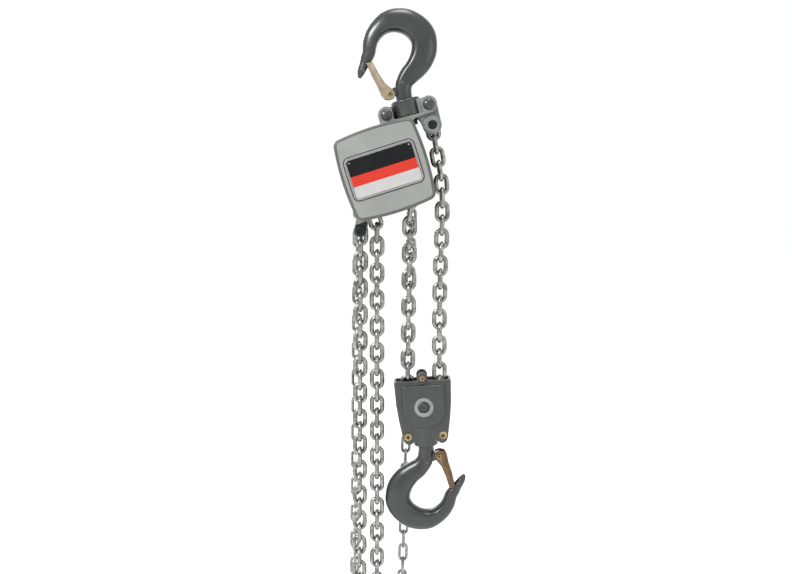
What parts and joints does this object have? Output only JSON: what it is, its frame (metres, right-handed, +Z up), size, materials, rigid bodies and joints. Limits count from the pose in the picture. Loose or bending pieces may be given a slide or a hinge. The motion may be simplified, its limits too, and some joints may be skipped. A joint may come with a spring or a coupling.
{
  "type": "hand chain hoist",
  "caption": "Hand chain hoist hanging on a swivel hook, with a geared load sheave, a hand wheel, falls of load chain and a lower hook block, empty and at rest.",
  "frame": {"origin": "lowest line of the top hook's saddle, on the hook's centre plane, where the hoist hangs", "axes": "+Z up along the hanging hoist, -Y towards the front of the gear cover, +X to the right"},
  "size_m": [0.2057, 0.159, 0.9833],
  "materials": {
    "cover_paint": "light grey enamel, satin",
    "dark_paint": "dark grey enamel, satin",
    "wheel_cover_paint": "dark grey enamel, satin",
    "plate_paint": "mid grey paint, satin",
    "label_face": "satin foil with black and red bands",
    "zinc_chain": "bright zinc plate",
    "brass_zinc": "yellow zinc plate",
    "top_latch_plate": "cream yellow zinc plate",
    "bottom_latch_plate": "brown bronze zinc plate",
    "black_steel": "black oxide",
    "machined_steel": "machined",
    "friction_lining": "pressed fibre lining"
  },
  "bodies": {
    "top_hook": {"top_hook": "dark_paint", "top_hook_nut": "machined_steel", "top_latch_bolt": "brass_zinc"},
    "top_latch": {"top_latch": "top_latch_plate"},
    "hoist_body": {"gear_side_plate": "plate_paint", "wheel_side_plate": "plate_paint", "stay_bolt_upper_left": "machined_steel", "stay_bolt_lower_right": "machined_steel", "gear_cover": "cover_paint", "name_plate": "label_face", "sheave_bearing_front": "machined_steel", "sheave_bearing_rear": "machined_steel", "ratchet_disc": "black_steel", "hand_wheel_cover": "wheel_cover_paint", "chain_guide": "black_steel", "slack_anchor_bolt": "black_steel", "chain_anchor_arm": "plate_paint", "anchor_pin": "black_steel", "hook_yoke": "dark_paint", "yoke_pin_left": "dark_paint", "yoke_pin_right": "dark_paint", "load_chain_dead_fall": "zinc_chain", "load_chain_live_fall": "zinc_chain", "load_chain_slack_fall": "zinc_chain", "load_chain_slack_loop": "zinc_chain", "load_chain_slack_end": "zinc_chain", "load_chain_on_load_sheave": "zinc_chain", "load_chain_on_idle_sheave": "zinc_chain", "hand_chain_on_wheel": "zinc_chain", "hand_chain_right_fall": "zinc_chain", "hand_chain_left_fall": "zinc_chain", "hand_chain_loop": "zinc_chain"},
    "load_sheave": {"load_sheave": "machined_steel", "load_gear": "machined_steel"},
    "intermediate_gear_upper": {"intermediate_gear_upper": "machined_steel"},
    "intermediate_gear_lower": {"intermediate_gear_lower": "machined_steel"},
    "drive": {"drive_shaft": "machined_steel", "brake_hub": "machined_steel", "friction_disc_inner": "friction_lining", "friction_disc_outer": "friction_lining", "hand_wheel": "dark_paint", "hand_wheel_nut": "zinc_chain"},
    "pawl_upper": {"pawl_upper": "black_steel"},
    "pawl_lower": {"pawl_lower": "black_steel"},
    "bottom_block": {"block_front_half": "dark_paint", "block_rear_half": "dark_paint", "block_bolt_left": "brass_zinc", "block_bolt_right": "brass_zinc", "block_top_bolt": "brass_zinc", "block_axle": "black_steel"},
    "idle_sheave": {"idle_sheave": "machined_steel"},
    "bottom_hook": {"bottom_hook": "dark_paint", "bottom_hook_nut": "machined_steel", "bottom_latch_bolt": "brass_zinc"},
    "bottom_latch": {"bottom_latch": "bottom_latch_plate"}
  },
  "joints": [
    {"name": "top_hook_swivel", "type": "hinge", "parent": "top_hook", "child": "hoist_body", "pos_m": [0.01977, 0, -0.11412], "axis": [-0.2504, 0, 0.9681], "continuous": true},
    {"name": "top_latch_hinge", "type": "hinge", "parent": "top_hook", "child": "top_latch", "pos_m": [-0.00576, 0, -0.09336], "axis": [0, 1, 0], "range_deg": [0, 38], "stiffness_Nm_per_rad": 0.05, "springref_deg": -57.3},
    {"name": "load_sheave_spin", "type": "hinge", "parent": "hoist_body", "child": "load_sheave", "pos_m": [-0.0136, 0, -0.209], "axis": [0, 1, 0], "continuous": true, "deforming": ["load_chain_on_load_sheave", "hand_chain_on_wheel"]},
    {"name": "intermediate_gear_upper_spin", "type": "hinge", "parent": "hoist_body", "child": "intermediate_gear_upper", "pos_m": [-0.02226, 0, -0.18153], "axis": [0, 1, 0], "continuous": true},
    {"name": "intermediate_gear_lower_spin", "type": "hinge", "parent": "hoist_body", "child": "intermediate_gear_lower", "pos_m": [-0.00494, 0, -0.23647], "axis": [0, 1, 0], "continuous": true},
    {"name": "hand_wheel_spin", "type": "hinge", "parent": "hoist_body", "child": "drive", "pos_m": [-0.0136, 0, -0.209], "axis": [0, 1, 0], "continuous": true},
    {"name": "pawl_upper_swing", "type": "hinge", "parent": "hoist_body", "child": "pawl_upper", "pos_m": [-0.00097, 0, -0.16894], "axis": [0, 1, 0], "range_deg": [0, 12], "stiffness_Nm_per_rad": 0.02, "springref_deg": -57.3},
    {"name": "pawl_lower_swing", "type": "hinge", "parent": "hoist_body", "child": "pawl_lower", "pos_m": [-0.02623, 0, -0.24906], "axis": [0, 1, 0], "range_deg": [0, 12], "stiffness_Nm_per_rad": 0.02, "springref_deg": -57.3},
    {"name": "block_tilt", "type": "hinge", "parent": "hoist_body", "child": "bottom_block", "pos_m": [0.0473, 0, -0.581], "axis": [0, 1, 0], "range_deg": [-3, 4], "deforming": ["load_chain_slack_fall"]},
    {"name": "idle_sheave_spin", "type": "hinge", "parent": "bottom_block", "child": "idle_sheave", "pos_m": [0.0473, 0, -0.581], "axis": [0, 1, 0], "continuous": true},
    {"name": "bottom_hook_swivel", "type": "hinge", "parent": "bottom_block", "child": "bottom_hook", "pos_m": [0.05096, 0, -0.64089], "axis": [-0.061, 0, 0.9981], "continuous": true},
    {"name": "bottom_latch_hinge", "type": "hinge", "parent": "bottom_hook", "child": "bottom_latch", "pos_m": [0.07193, 0, -0.66413], "axis": [0, 1, 0], "range_deg": [0, 38], "stiffness_Nm_per_rad": 0.05, "springref_deg": -57.3}
  ],
  "couplings": [
    {"joint": "intermediate_gear_upper_spin", "follows": "load_sheave_spin", "ratio": -3},
    {"joint": "intermediate_gear_lower_spin", "follows": "load_sheave_spin", "ratio": -3},
    {"joint": "hand_wheel_spin", "follows": "load_sheave_spin", "ratio": 9}
  ]
}
